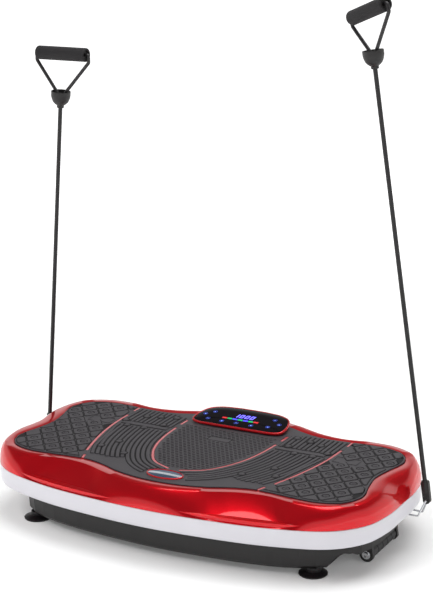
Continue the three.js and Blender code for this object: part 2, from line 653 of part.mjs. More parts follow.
for (const [side, p] of Object.entries(pulls)) {
  const barMid = v(p.side * barX, barY, barZ);
  const reach = p.hole.clone().sub(barMid);
  const out = reach.clone().normalize();
  const level = v(-out.y, out.x, 0).normalize();      // horizontal, across the ring
  const flat = v(out.x, out.y, 0).normalize();
  // Bracket: an angle under the frame; the swivel's pin hangs in its lower leg.
  const sx = p.side;
  const legs = [[353, 356, 69, frameDeck - gap], [353, 373.6, 69, 71.4]].map(([x0, x1, z0, z1]) => (
    box(Math.min(sx * x0, sx * x1), Math.max(sx * x0, sx * x1), barY - 8, barY + 8, z0, z1)
  ));
  const pinAt = (z) => v(sx * barX, barY, z);
  add(`ring_bracket_${side}`, cut(join(...legs), bar(pinAt(60), pinAt(80), 2 + gap, 16)), "steel");

  // Swivel: a headed pin in the bracket with a knuckle round the ring's bar.
  const knuckle = join(
    bar(pinAt(71.4 + gap), pinAt(73.6), 3.2, 16),
    bar(pinAt(barZ + 1), pinAt(72), 2, 16),
    bar(barMid.clone().addScaledVector(level, -4), barMid.clone().addScaledVector(level, 4), 3, 16),
  );
  const barEnd = (s) => barMid.clone().addScaledVector(level, s);
  const barBore = bar(barEnd(-9), barEnd(9), ringWire + gap, 12);
  add(`ring_swivel_${side}`, cut(knuckle, barBore), "steel");

  // Ring: a bent wire, flat under the skirt, then up and narrowing to the clip.
  const bend = barMid.clone().addScaledVector(flat, ringFlat);
  const wire = rounded([
    barMid.clone().addScaledVector(level, -12), barMid.clone().addScaledVector(level, 12),
    bend.clone().addScaledVector(level, 10.5), p.hole.clone().addScaledVector(level, 6),
    p.hole.clone().addScaledVector(level, -6), bend.clone().addScaledVector(level, -10.5),
  ], 1.6, 3, true);
  add(`pull_ring_${side}`, sweep(wire, ringWire, 6, true), "steel");

  // Clip: a flat block with a hole for the ring and a socket for the tube.
  const axis = p.cup.clone().sub(p.hole).normalize();
  const across = level.clone().addScaledVector(axis, -level.dot(axis)).normalize();
  const wide = across.clone().cross(axis).normalize();
  const clipFrame = new THREE.Matrix4().makeBasis(wide, across, axis).setPosition(p.hole);
  const clipShape = new THREE.Shape();
  const clipTop = clipLong - holeUp;
  clipShape.moveTo(6.6, 0).lineTo(7, clipTop - 3).lineTo(5, clipTop).lineTo(-5, clipTop);
  clipShape.lineTo(-7, clipTop - 3).lineTo(-6.6, 0).absarc(0, 0, 6.6, Math.PI, Math.PI * 2, false);
  const eye = new THREE.Path();
  eye.absarc(0, 0, 2.9, 0, Math.PI * 2, true);
  clipShape.holes.push(eye);
  const clipBlock = pulledAlongY(clipShape, -4, 4);
  const tubeStart = 16;
  const socket = bar(v(0, 0, tubeStart), v(0, 0, 50), tubeR + gap, 16);
  const sleeve = bar(v(0, 0, tubeStart - 3), v(0, 0, clipTop), tubeR + 2, 20);
  add(`band_clip_${side}`, cut(join(clipBlock, sleeve), socket).applyMatrix4(clipFrame), "blackPlastic");

  // Tube, from inside the clip to inside the cup's collar.
  const from = p.hole.clone().addScaledVector(axis, tubeStart + gap);
  const to = p.cup.clone().addScaledVector(axis, 3);
  const steps = Math.round(from.distanceTo(to) / 21);
  const tubeSection = new THREE.Shape(Array.from({ length: 10 }, (_, i) => {
    const a = (2 * Math.PI * i) / 10;
    return new THREE.Vector2(tubeR * Math.cos(a), tubeR * Math.sin(a));
  }));
  const tube = new THREE.ExtrudeGeometry(tubeSection, { steps, extrudePath: new THREE.LineCurve3(from, to) });
  add(`band_tube_${side}`, tube, "softRubber");

  // Cup: open at the top, closed by a collar round the tube below.
  const cupFrame = new THREE.Matrix4().makeBasis(wide, across, axis).setPosition(p.cup);
  const cupProfile = [[tubeR + gap, 0], [6.6, 0], [6.6, 4.6], [8, 5.2], [13, 9.5], [16.4, 16], [cupR, 23],
    [cupR, cupHigh], [cupR - 1.5, cupHigh], [cupR - 1.8, 23], [14.6, 16.4], [11.6, 12], [0, 10.6],
    [0, 3.3], [tubeR + gap, 3.3], [tubeR + gap, 0]];
  add(`handle_cup_${side}`, turned(cupProfile, 20, cupFrame), "blackPlastic");

  // Strap: a cord from the cup, through the grip and back.
  const along = p.along.clone().normalize();
  const alongCup = along.clone().addScaledVector(axis, -along.dot(axis)).normalize();
  const upGrip = axis.clone().addScaledVector(along, -along.dot(axis)).normalize();
  const overGrip = (s, down) => p.grip.clone()
    .addScaledVector(along, s * (gripLong / 2 + 3.9)).addScaledVector(upGrip, -down);
  const inCup = (s, aside, up) => (
    p.cup.clone().addScaledVector(alongCup, s * aside).addScaledVector(axis, up)
  );
  const strapPath = rounded([
    inCup(-1, 3.6, 16.2), inCup(-1, 10.6, cupHigh - 1), overGrip(-1, 14), overGrip(-1, 0),
    overGrip(1, 0), overGrip(1, 14), inCup(1, 10.6, cupHigh - 1), inCup(1, 3.6, 16.2),
  ], 4, 3);
  add(`handle_strap_${side}`, sweep(strapPath, strapR, 8), "softRubber");

  // Grip: a stiff core tube that the strap runs through, and a foam sleeve that turns on it.
  const gripSide = upGrip.clone().cross(along);
  const gripFrame = new THREE.Matrix4().makeBasis(gripSide, upGrip, along).setPosition(p.grip);
  const half = gripLong / 2;
  const ring = (inner, outer, h, edge) => turned([
    [inner, -h], [outer - edge, -h], [outer, -h + edge], [outer, h - edge], [outer - edge, h],
    [inner, h], [inner, -h],
  ], 20, gripFrame);
  add(`grip_core_${side}`, ring(strapR + gap, 8.5, half - 5, 0.6), "blackPlastic");
  add(`foam_grip_${side}`, ring(8.5 + gap, gripR, half, 1.6), "foam");
}

export default group;
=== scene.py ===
import json
import math

import bmesh
import bpy
import numpy as np
from mathutils import Matrix, Vector


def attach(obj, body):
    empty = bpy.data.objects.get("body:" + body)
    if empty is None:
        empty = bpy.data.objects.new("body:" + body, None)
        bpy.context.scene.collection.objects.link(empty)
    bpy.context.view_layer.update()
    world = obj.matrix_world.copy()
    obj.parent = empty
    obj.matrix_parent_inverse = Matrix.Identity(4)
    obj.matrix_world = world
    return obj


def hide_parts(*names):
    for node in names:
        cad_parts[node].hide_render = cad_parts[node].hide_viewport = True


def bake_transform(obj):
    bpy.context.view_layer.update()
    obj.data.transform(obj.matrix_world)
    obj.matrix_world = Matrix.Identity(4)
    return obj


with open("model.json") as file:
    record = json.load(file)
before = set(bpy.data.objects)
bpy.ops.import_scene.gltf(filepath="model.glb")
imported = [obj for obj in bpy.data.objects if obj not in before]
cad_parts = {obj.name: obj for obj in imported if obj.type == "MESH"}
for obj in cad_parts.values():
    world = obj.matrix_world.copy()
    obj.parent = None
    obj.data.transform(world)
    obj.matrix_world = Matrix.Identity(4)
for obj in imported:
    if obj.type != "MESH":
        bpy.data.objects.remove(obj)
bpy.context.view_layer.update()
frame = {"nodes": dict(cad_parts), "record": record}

mm = 0.001


# camera
def vec(*xyz):
    return Vector(xyz)


cameraSet = {
    "place": (1.4177, -2.5993, 1.2128),
    "azimuth": math.radians(28.21),
    "pitch": math.radians(15.21),
    "roll": math.radians(-0.58),
    "lens": 105.2,
}


def makeCamera(s):
    data = bpy.data.cameras.new("camera")
    data.lens = s["lens"]
    data.clip_start = 0.1
    data.clip_end = 40
    camera = bpy.data.objects.new("camera", data)
    bpy.context.scene.collection.objects.link(camera)
    ca, sa = math.cos(s["azimuth"]), math.sin(s["azimuth"])
    cp, sp = math.cos(s["pitch"]), math.sin(s["pitch"])
    back = vec(sa * cp, -ca * cp, sp)
    level = vec(ca, sa, 0)
    upright = back.cross(level)
    right = level * math.cos(s["roll"]) + upright * math.sin(s["roll"])
    up = back.cross(right)
    turn = Matrix((right, up, back)).transposed().to_4x4()
    camera.matrix_world = Matrix.Translation(s["place"]) @ turn
    bpy.context.scene.camera = camera


makeCamera(cameraSet)
print("camera")


# mesh helpers, all sizes in millimetres
def catmull(points, closed, count):
    # centripetal curve through the points, then evenly spaced samples
    pts = [np.array(p, float) for p in points]
    n = len(pts)
    fine = []
    for i in range(n if closed else n - 1):
        if closed:
            a, b, c, d = (pts[(i + k - 1) % n] for k in range(4))
        else:
            b, c = pts[i], pts[i + 1]
            a = pts[i - 1] if i else 2 * b - c
            d = pts[i + 2] if i + 2 < n else 2 * c - b
        t0, t1, t2 = (math.sqrt(max(np.linalg.norm(q - p), 1e-9)) for p, q in ((a, b), (b, c), (c, d)))
        m1 = ((b - a) / t0 - (c - a) / (t0 + t1) + (c - b) / t1) * t1
        m2 = ((c - b) / t1 - (d - b) / (t1 + t2) + (d - c) / t2) * t1
        for k in range(24):
            u = k / 24
            fine.append(
                (2 * u**3 - 3 * u**2 + 1) * b
                + (u**3 - 2 * u**2 + u) * m1
                + (3 * u**2 - 2 * u**3) * c
                + (u**3 - u**2) * m2
            )
    fine.append(pts[0] if closed else pts[-1])
    fine = np.array(fine)
    run = np.concatenate(([0], np.cumsum(np.linalg.norm(np.diff(fine, axis=0), axis=1))))
    spots = np.linspace(0, run[-1], count + 1)[:-1] if closed else np.linspace(0, run[-1], count)
    return np.stack([np.interp(spots, run, fine[:, k]) for k in range(fine.shape[1])], 1)


def mirrored(half, count):
    loop = list(half) + [(x, -y) for x, y in half[1:-1][::-1]]
    return catmull(loop, True, count)


def fourWay(quarter, count):
    return mirrored(list(quarter) + [(-x, y) for x, y in quarter[:-1][::-1]], count)


def inset(loop, d):
    along = np.roll(loop, -1, 0) - np.roll(loop, 1, 0)
    along = along / np.linalg.norm(along, axis=1)[:, None]
    return loop + d * np.stack([-along[:, 1], along[:, 0]], 1)


def at(loop, z):
    return np.column_stack([loop[:, :2], np.full(len(loop), float(z))])


def skin(rings, closed=False, caps=True):
    n = len(rings[0])
    points = [p for ring in rings for p in ring]
    faces = []
    for i in range(len(rings) if closed else len(rings) - 1):
        low, high = i * n, (i + 1) % len(rings) * n
        faces += [(low + j, low + (j + 1) % n, high + (j + 1) % n, high + j) for j in range(n)]
    if caps and not closed:
        for start, turned in ((0, True), ((len(rings) - 1) * n, False)):
            hub = len(points)
            points.append(np.mean(points[start : start + n], axis=0))
            for j in range(n):
                a, b = start + j, start + (j + 1) % n
                faces.append((hub, b, a) if turned else (hub, a, b))
    return points, faces


def carried(path, closed=False):
    # a side vector at each point of a path, carried along without twist
    path = [Vector(p) for p in path]
    n = len(path)
    side = None
    out = []
    for i, p in enumerate(path):
        after = path[(i + 1) % n] if closed else path[min(i + 1, n - 1)]
        before = path[i - 1] if closed else path[max(i - 1, 0)]
        t = (after - before).normalized()
        if side is None:
            side = (vec(0, 0, 1) if abs(t.z) < 0.8 else vec(1, 0, 0)).cross(t)
        side = (side - t * side.dot(t)).normalized()
        out.append((p, side, t.cross(side)))
    return out


def sweep(path, radius, sides, closed=False):
    rings = []
    for p, side, up in carried(path, closed):
        spin = [2 * math.pi * j / sides for j in range(sides)]
        rings.append([p + side * radius * math.cos(a) + up * radius * math.sin(a) for a in spin])
    return skin(rings, closed)


def rounded(corners, radius, steps, closed=False):
    out = []
    n = len(corners)
    for i, p in enumerate(corners):
        if not closed and i in (0, n - 1):
            out.append(p)
            continue
        a = (corners[i - 1] - p).normalized()
        b = (corners[(i + 1) % n] - p).normalized()
        reach = radius / math.tan(a.angle(b) / 2)
        start, end = p + a * reach, p + b * reach
        for s in range(steps + 1):
            u = s / steps
            out.append(start * (1 - u) ** 2 + p * 2 * u * (1 - u) + end * u * u)
    return out


def turned(profile, sides, place):
    closed = profile[0] == profile[-1]
    profile = profile[:-1] if closed else profile
    rings = []
    for r, h in profile:
        spin = [2 * math.pi * j / sides for j in range(sides)]
        rings.append([place @ vec(r * math.cos(a), r * math.sin(a), h) for a in spin])
    return skin(rings, closed, caps=not closed)


def basis(x, y, z, origin):
    return Matrix.Translation(origin) @ Matrix((x, y, z)).transposed().to_4x4()


def together(*shapes):
    points, faces = [], []
    for p, f in shapes:
        base = len(points)
        points += list(p)
        faces += [tuple(base + k for k in face) for face in f]
    return points, faces


def piece(name, shape, look, body=None, stands=(), crease=35):
    points, faces = shape
    mesh = bpy.data.meshes.new(name)
    mesh.from_pydata([tuple(float(c) * mm for c in p) for p in points], [], faces)
    b = bmesh.new()
    b.from_mesh(mesh)
    bmesh.ops.remove_doubles(b, verts=b.verts, dist=1e-6)
    bmesh.ops.recalc_face_normals(b, faces=b.faces)
    b.to_mesh(mesh)
    b.free()
    mesh.shade_smooth()
    mesh.set_sharp_from_angle(angle=math.radians(crease))
    mesh.materials.append(look.material)
    obj = bpy.data.objects.new(name, mesh)
    bpy.context.scene.collection.objects.link(obj)
    if body:
        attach(obj, body)
    if stands:
        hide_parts(*stands)
    return obj


# materials
class Wire:
    def __init__(self, look, socket):
        self.look = look
        self.socket = socket

    def math(self, operation, *values):
        return self.look.node("ShaderNodeMath", values, operation=operation)

    def __add__(self, other):
        return self.math("ADD", self, other)

    def __radd__(self, other):
        return self.math("ADD", other, self)

    def __sub__(self, other):
        return self.math("SUBTRACT", self, other)

    def __rsub__(self, other):
        return self.math("SUBTRACT", other, self)

    def __mul__(self, other):
        return self.math("MULTIPLY", self, other)

    def __rmul__(self, other):
        return self.math("MULTIPLY", other, self)

    def __truediv__(self, other):
        return self.math("DIVIDE", self, other)

    def __rtruediv__(self, other):
        return self.math("DIVIDE", other, self)


class Look:
    def __init__(self, name, **constants):
        self.material = bpy.data.materials.new(name)
        self.material.use_nodes = True
        self.tree = self.material.node_tree
        self.shader = self.tree.nodes["Principled BSDF"]
        for key, value in constants.items():
            self.shader.inputs[key.replace("_", " ")].default_value = value
        self.place = self.node("ShaderNodeTexCoord", output="Object")

    def node(self, kind, inputs=(), output=0, **settings):
        made = self.tree.nodes.new(kind)
        for key, value in settings.items():
            setattr(made, key, value)
        pairs = inputs.items() if isinstance(inputs, dict) else enumerate(inputs)
        for key, value in pairs:
            if isinstance(value, Wire):
                self.tree.links.new(value.socket, made.inputs[key])
            else:
                made.inputs[key].default_value = value
        return Wire(self, made.outputs[output])

    def noise(self, scale, detail=2):
        return self.node("ShaderNodeTexNoise", {"Vector": self.place, "Scale": scale, "Detail": detail})

    def mix(self, factor, a, b):
        return self.node(
            "ShaderNodeMix", {0: factor, 6: (*a, 1), 7: (*b, 1)}, output=2, data_type="RGBA"
        )

    def into(self, name, wire):
        self.tree.links.new(wire.socket, self.shader.inputs[name])
        return self

    def bump(self, height, distance, strength=1.0):
        wire = self.node("ShaderNodeBump", {"Height": height, "Distance": distance, "Strength": strength})
        return self.into("Normal", wire)


def plain(name, dark, light, rough, grain, grainDepth, spread=0.06, **constants):
    # a colour that drifts a little, roughness to match, and a fine grain
    look = Look(name, **constants)
    cloud = look.noise(9, 3)
    look.into("Base Color", look.mix(cloud, dark, light))
    look.into("Roughness", look.noise(22, 3) * (2 * spread) + (rough - spread))
    if grain:
        look.bump(look.noise(grain, 2), grainDepth)
    return look


def banded(name):
    # brushed badge face: dark blue edges and a pale bar across the middle
    look = Look(name, Metallic=0.7)
    y = look.node("ShaderNodeSeparateXYZ", [look.place], output="Y")
    off = look.node("ShaderNodeMath", [(y + 0.150) * 1000], operation="ABSOLUTE")
    edge = {"Value": off, "From Min": 3.2, "From Max": 5.0, "To Min": 1.0, "To Max": 0.0}
    bar = look.node("ShaderNodeMapRange", edge)
    look.into("Base Color", look.mix(bar, (0.05, 0.10, 0.17), (0.60, 0.63, 0.68)))
    look.into("Roughness", look.noise(90, 2) * 0.15 + 0.22)
    return look


looks = {
    "red_shell": plain(
        "candyRed", (0.60, 0.002, 0.008), (0.66, 0.003, 0.011), 0.34, 0, 0, 0.03,
        Metallic=0.75, Coat_Weight=1.0, Coat_Roughness=0.06, Coat_IOR=1.45,
        Specular_Tint=(0.8, 0.02, 0.03, 1),
    ),
    "slot_red": plain(
        "slotRed", (0.40, 0.03, 0.04), (0.46, 0.04, 0.05), 0.4, 0, 0, 0.03,
        Coat_Weight=1.0, Coat_Roughness=0.1,
    ),
    "white_band": plain("satinWhite", (0.60, 0.59, 0.63), (0.66, 0.65, 0.69), 0.34, 900, 0.00003),
    "black_plastic": plain("blackPlastic", (0.005, 0.004, 0.004), (0.008, 0.007, 0.007), 0.5, 1800, 0.00006),
    "mat_rubber": plain("matRubber", (0.030, 0.027, 0.031), (0.040, 0.036, 0.041), 0.55, 1100, 0.0001),
    # near-black rubber for the flat sheets in the relief's gaps: painted shade
    "groove_shade": plain("paintedGrooveShade", (0.004, 0.003, 0.004), (0.007, 0.006, 0.007), 0.85, 1100, 0.0001),
    "soft_rubber": plain("softRubber", (0.005, 0.004, 0.005), (0.008, 0.007, 0.008), 0.5, 900, 0.00005),
    "strap": plain("strapRubber", (0.006, 0.005, 0.006), (0.010, 0.009, 0.010), 0.46, 1200, 0.00008),
    "foam": plain("foamSkin", (0.007, 0.006, 0.007), (0.012, 0.011, 0.012), 0.82, 1500, 0.0004),
    "steel": plain("platedSteel", (0.55, 0.56, 0.58), (0.66, 0.67, 0.68), 0.26, 0, 0, Metallic=1.0),
    "dark_steel": plain("paintedSteel", (0.05, 0.052, 0.055), (0.07, 0.072, 0.076), 0.45, 700, 0.0001),
    "zinc": plain("zincSheet", (0.36, 0.37, 0.40), (0.52, 0.53, 0.55), 0.42, 0, 0, 0.1, Metallic=1.0),
    "circuit_board": plain("circuitBoard", (0.008, 0.08, 0.025), (0.015, 0.13, 0.045), 0.5, 500, 0.0002),
    "display_glass": plain(
        "smokedLens", (0.002, 0.001, 0.002), (0.004, 0.003, 0.005), 0.12, 0, 0, 0.02, Specular_IOR_Level=0.25,
    ),
    "badge_metal": banded("badgeMetal"),
    "switch_red": plain("switchRed", (0.42, 0.01, 0.01), (0.5, 0.015, 0.012), 0.35, 900, 0.00005),
}

slotOf = {row["node"]: row["material_slot"] for row in frame["record"]["subparts"]}
for name, node in frame["nodes"].items():
    for holder in node.material_slots:
        holder.material = looks[slotOf[name]].material
print("materials")

# resistance bands
bandSet = {
    "left": {
        "side": -1, "hole": vec(-396, 88.5, 77), "cup": vec(-342.6, 84, 712.2),
        "grip": vec(-334.5, 84.2, 811.6), "along": vec(0.998, -0.06, 0.01),
    },
    "right": {
        "side": 1, "hole": vec(403, 50, 88.5), "cup": vec(295.3, 50, 822.8),
        "grip": vec(282.3, 50.3, 916.3), "along": vec(0.781, -0.547, 0.302),
    },
    "bar": (371, 50, 60.3),
    "tubeR": 3.9, "tubeStart": 16.3, "tubeIntoCup": 3,
    "wireR": 1.6, "ringFlat": 20,
    "cupR": 18, "cupHigh": 31,
    "gripLong": 108, "gripR": 12.6, "strapR": 3.2,
}


def bandFrames(s, p):
    barMid = vec(p["side"] * s["bar"][0], s["bar"][1], s["bar"][2])
    out = (p["hole"] - barMid).normalized()
    level = vec(-out.y, out.x, 0).normalized()
    flat = vec(out.x, out.y, 0).normalized()
    axis = (p["cup"] - p["hole"]).normalized()
    across = (level - axis * level.dot(axis)).normalized()
    wide = across.cross(axis).normalized()
    return barMid, level, flat, axis, across, wide


def makeTube(name, s, p):
    axis = bandFrames(s, p)[3]
    start = p["hole"] + axis * s["tubeStart"]
    end = p["cup"] + axis * s["tubeIntoCup"]
    path = [start.lerp(end, k / 40) for k in range(41)]
    tube = piece(f"bandTube_{name}", sweep(path, s["tubeR"], 20), looks["soft_rubber"])
    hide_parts(f"band_tube_{name}")
    start * mm
    end * mm
    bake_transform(tube)
    tuple(start * mm)
    (end - start).length * mm
    [tuple(q * mm) for q in path]


for name in ("left", "right"):
    makeTube(name, bandSet, bandSet[name])
print("bands")


def makeHandle(name, s, p):
    barMid, level, flat, axis, across, wide = bandFrames(s, p)
    bend = barMid + flat * s["ringFlat"]
    wire = rounded(
        [
            barMid - level * 12, barMid + level * 12, bend + level * 10.5, p["hole"] + level * 6,
            p["hole"] - level * 6, bend - level * 10.5,
        ],
        1.6, 6, True,
    )
    piece(
        f"pullRing_{name}", sweep(wire, s["wireR"], 14, True), looks["steel"],
        f"ring_{name}", [f"pull_ring_{name}"], 60,
    )
    cupPlace = basis(wide, across, axis, p["cup"])
    r, h, t = s["cupR"], s["cupHigh"], s["tubeR"]
    cup = [
        (t + 0.3, 0), (5.9, 0), (6.5, 0.5), (6.6, 4.2), (7.2, 5), (9.6, 6.4), (13, 9.5), (15, 12.6),
        (16.4, 16), (17.5, 20), (r, 23), (r, h - 0.7), (r - 0.5, h), (r - 1, h), (r - 1.5, h - 0.6),
        (r - 1.8, 23), (14.6, 16.4),
        (11.6, 12), (6, 10.8), (0.4, 10.6), (0.4, 3.3), (t + 0.3, 3.3), (t + 0.3, 0),
    ]
    piece(
        f"cup_{name}", turned(cup, 56, cupPlace), looks["black_plastic"],
        f"handle_{name}", [f"handle_cup_{name}"], 32,
    )
    along = p["along"].normalized()
    alongCup = (along - axis * along.dot(axis)).normalized()
    upGrip = (axis - along * axis.dot(along)).normalized()

    def overGrip(k, down):
        return p["grip"] + along * k * (s["gripLong"] / 2 + 3.9) - upGrip * down

    def inCup(k, aside, up):
        return p["cup"] + alongCup * k * aside + axis * up

    corners = [
        inCup(-1, 3.6, 16.2), inCup(-1, 10.6, h - 1), overGrip(-1, 14), overGrip(-1, 0),
        overGrip(1, 0), overGrip(1, 14), inCup(1, 10.6, h - 1), inCup(1, 3.6, 16.2),
    ]
    piece(
        f"strap_{name}", sweep(rounded(corners, 4, 8), s["strapR"], 18), looks["strap"],
        f"handle_{name}", [f"handle_strap_{name}"], 60,
    )
    gripPlace = basis(upGrip.cross(along), upGrip, along, p["grip"])
    half, g = s["gripLong"] / 2, s["gripR"]
    foam = [(8.8, -half + 1), (9.6, -half), (g - 2, -half)]
    foam += [(g - 2 + 2 * math.sin(a), -half + 2 - 2 * math.cos(a)) for a in (0.4, 0.8, 1.2, 1.57)]
    foam += [(g, h2) for h2 in (-half * 0.5, 0, half * 0.5)]
    foam += [(rr, -hh) for rr, hh in foam[:7][::-1]]
    foam.append(foam[0])
    grip = piece(
        f"foamGrip_{name}", turned(foam, 48, gripPlace), looks["foam"],
        f"foam_{name}", [f"foam_grip_{name}"], 50,
    )


for name in ("left", "right"):
    makeHandle(name, bandSet, bandSet[name])
print("handles")

# shell, band and deck
plateSet = {
    "seam": [(380, 0), (379, 61), (364, 122), (320, 170), (222, 204), (110, 220), (0, 226)],
    "crease": [
        (353, 0), (361, 70), (343, 134), (300, 160), (250, 164), (200, 156), (150, 163), (100, 183),
        (50, 197), (0, 203),
    ],
    "mat": [
        (327, 0), (334, 46), (343, 92), (324, 130), (283, 146), (239, 145), (195, 141), (160, 141),
        (124, 151), (88, 167), (44, 178), (0, 181),
    ],
    "slots": [
        [(222, 150), (222, 119)], [(221, 96), (219, 45), (213, 0), (202, -52), (187, -105)],
        [(179, -124), (170, -150)],
        [(104, 118), (104, 91)], [(103, 72), (100, 30), (91, -20), (76, -60), (50, -98), (10, -119)],
    ],
    "ribHalf": 2.4, "low": 129, "high": 133, "bevel": 0.4,
    "around": 480, "ledge": 132, "deck": 129.7, "seamZ": 96, "skirtZ": 63,
    "hollow": 0.6, "hollowFrom": 18, "hollowTo": 46, "creaseTurn": 0.36,
}


def smoothstep(x, a, b):
    t = np.clip((x - a) / (b - a), 0, 1)
    return t * t * (3 - 2 * t)


def sideRings(top, bottom, zTop, zBottom, steps):
    wide = np.linalg.norm(top - bottom, axis=1)
    hollow = (plateSet["hollow"] * smoothstep(wide, plateSet["hollowFrom"], plateSet["hollowTo"]))[:, None]
    rings = []
    for i in range(steps, -1, -1):
        a = math.pi / 2 * i / steps
        start = plateSet["creaseTurn"] if i else 0
        turn = start + a * (1 - start / (math.pi / 2))
        full = (math.sin(turn) - math.sin(start)) / (1 - math.sin(start))
        drop = (math.cos(start) - math.cos(turn)) / math.cos(start)
        out = (1 - hollow) * full + hollow * (1 - math.cos(a))
        down = (1 - hollow) * drop + hollow * math.sin(a)
        rings.append(np.column_stack([top + (bottom - top) * out, zTop + (zBottom - zTop) * down]))
    return rings


seamLoop = fourWay(plateSet["seam"], plateSet["around"])
creaseLoop = fourWay(plateSet["crease"], plateSet["around"])
matLoop = fourWay(plateSet["mat"], plateSet["around"])


def ridge(path, half, s, closed=False, high=None):
    # a raised rib with bevelled shoulders and closed ends
    top = s["high"] if high is None else high
    path = np.array(path, float)
    if closed:
        along = np.roll(path, -1, 0) - np.roll(path, 1, 0)
    else:
        along = np.gradient(path, axis=0)
    along /= np.linalg.norm(along, axis=1)[:, None]
    side = np.stack([-along[:, 1], along[:, 0]], 1)
    b = s["bevel"]
    section = [
        (-half, s["low"]), (-half, top - b), (b - half, top),
        (half - b, top), (half, top - b), (half, s["low"]),
    ]
    lines = [at(path + side * d, z) for d, z in section]
    n, m = len(path), len(section)
    points = [lines[k][i] for i in range(n) for k in range(m)]
    faces = []
    for i in range(n if closed else n - 1):
        j = (i + 1) % n
        faces += [(i * m + k, i * m + k + 1, j * m + k + 1, j * m + k) for k in range(m - 1)]
    if not closed:
        faces += [tuple(range(m)), tuple((n - 1) * m + k for k in reversed(range(m)))]
    return points, faces


def depthInside(point, loop):
    # distance to the loop, positive inside it
    d = np.linalg.norm(loop - np.array(point), axis=1).min()
    x, y = point
    a, b = loop, np.roll(loop, -1, 0)
    hit = (a[:, 1] > y) != (b[:, 1] > y)
    rise = np.where(b[:, 1] == a[:, 1], 1e-9, b[:, 1] - a[:, 1])
    cut = a[:, 0] + (y - a[:, 1]) * (b[:, 0] - a[:, 0]) / rise
    return d if np.count_nonzero(hit & (x < cut)) % 2 else -d


def makeShell(s):
    recess = inset(matLoop, -1.2)
    rings = [at(inset(seamLoop, 3), s["seamZ"] + 8), at(inset(seamLoop, 3), s["seamZ"] + 0.6)]
    rings.append(at(inset(seamLoop, 0.7), s["seamZ"] + 0.4))
    rings += sideRings(creaseLoop, seamLoop, s["ledge"], s["seamZ"] + 0.8, 22)
    rings += [at(inset(recess, -0.6), s["ledge"]), at(inset(recess, -0.1), s["ledge"] - 0.2)]
    rings += [at(recess, s["ledge"] - 0.7), at(recess, s["deck"] + 0.3), at(inset(recess, 0.4), s["deck"])]
    rings += [at(recess * k, s["deck"]) for k in (0.8, 0.5, 0.2)]
    shapes = []
    for line in s["slots"]:
        for k in (1, -1):
            path = catmull([(k * x, y) for x, y in line], False, max(4, 8 * len(line)))
            path = np.array([q for q in path if depthInside(tuple(q), matLoop) > -0.6])
            shapes.append(ridge(path, s["ribHalf"], s))
    piece("shell", skin(rings), looks["red_shell"], "platform", ["top_shell"], 40)
    piece("slotRibs", together(*shapes), looks["slot_red"], "platform", (), 40)


def makeBand(s):
    low, high = s["skirtZ"], s["seamZ"]
    stack = [
        (4.8, low + 6), (4.8, low + 0.3), (4.5, low), (3.4, low + 0.2), (2.4, low + 1), (1.6, low + 3),
        (1.0, low + 9), (0.5, high - 12), (0.2, high - 2), (0.3, high - 1), (0.7, high - 0.3), (1.3, high),
        (4, high),
    ]
    rings = [at(inset(seamLoop, d), z) for d, z in stack]
    piece("bandSkirt", skin(rings, True), looks["white_band"], "platform", ["side_band"], 50)


makeShell(plateSet)
makeBand(plateSet)
print("shell")

# mat relief
reliefSet = {
    "low": 133.0, "high": 134.7, "bevel": 0.5,
    "ribHalf": 2.9, "pitch": 9.0,
    "innerSlot": [(103, 72), (100, 30), (91, -20), (76, -60), (50, -98), (10, -119)],
    "outerSlot": [(222, 150), (221, 96), (219, 45), (213, 0), (202, -52), (187, -105), (170, -150)],
    "diamondX": 18.4, "diamondY": 23.7, "firstX": 270, "firstY": 1.25,
    # floor is the top of the flat dark sheets of painted shade in the relief's gaps
    "label": (228, 275, 38, 64), "floor": 133.62, "lobe": (292, 0), "leastArea": 150,
    "boss": [(5.6, -0.5), (5.0, 0), (2.6, 0), (2.4, 0.7), (0.01, 0.8)],
    "stud": [(5.4, 0), (4.9, 0.8), (3.4, 1.2), (0.01, 1.3)],
    # the wide flat disc under each stud is painted shade
    "studShade": [(8.2, -0.3), (8.2, 0.1), (0.01, 0.1)],
    "studs": [
        (207, 66), (180, 98), (155, 107), (125, 115), (129, 70), (154, 42), (190, 42), (157, -42), (175, -75),
        (118, -91),
    ],
}


def ringPath(x, y, r, count):
    spin = [2 * math.pi * k / count for k in range(count)]
    return [(x + r * math.cos(a), y + r * math.sin(a)) for a in spin]


def slotX(slot, y):
    line = sorted((q[1], q[0]) for q in slot)
    return float(np.interp(y, [q[0] for q in line], [q[1] for q in line]))


def pad(outer, low, high, bevel=0.5, hole=None):
    # a flat raised pad; with a hole, both loops have as many points
    outer = np.array(outer, float)
    middle = outer.mean(0) if hole is None else None
    pull = bevel / np.linalg.norm(outer - outer.mean(0), axis=1)[:, None]
    shoulder = outer + (outer.mean(0) - outer) * pull
    rings = [at(outer, low), at(outer, high - bevel), at(shoulder, high)]
    if hole is None:
        return skin(rings + [at(outer * 0.02 + middle * 0.98, high)])
    return skin(rings + [at(np.array(hole), high), at(np.array(hole), low)], True)


def spun(path, steps):
    # a closed corner path sampled evenly, starting on its first corner's side
    pts = np.array([(q.x, q.y) for q in path])
    gaps = np.linalg.norm(np.roll(pts, -1, 0) - pts, axis=1)
    run = np.concatenate(([0], np.cumsum(gaps)))
    loop = np.vstack([pts, pts[:1]])
    spots = np.linspace(0, run[-1], steps + 1)[:-1]
    return np.stack([np.interp(spots, run, loop[:, k]) for k in range(2)], 1)


def drawnIn(point, middle, slot, margin):
    # a corner beyond the mat's edge or the slot is drawn towards the lobe's middle
    for t in np.linspace(1, 0.4, 121):
        x, y = middle[0] + (point[0] - middle[0]) * t, middle[1] + (point[1] - middle[1]) * t
        if depthInside((x, y), matLoop) >= margin and abs(x) - slotX(slot, y) >= margin:
            break
    return x, y


def areaOf(path):
    x, y = path[:, 0], path[:, 1]
    return abs(float(np.sum(x * np.roll(y, -1) - y * np.roll(x, -1)))) / 2


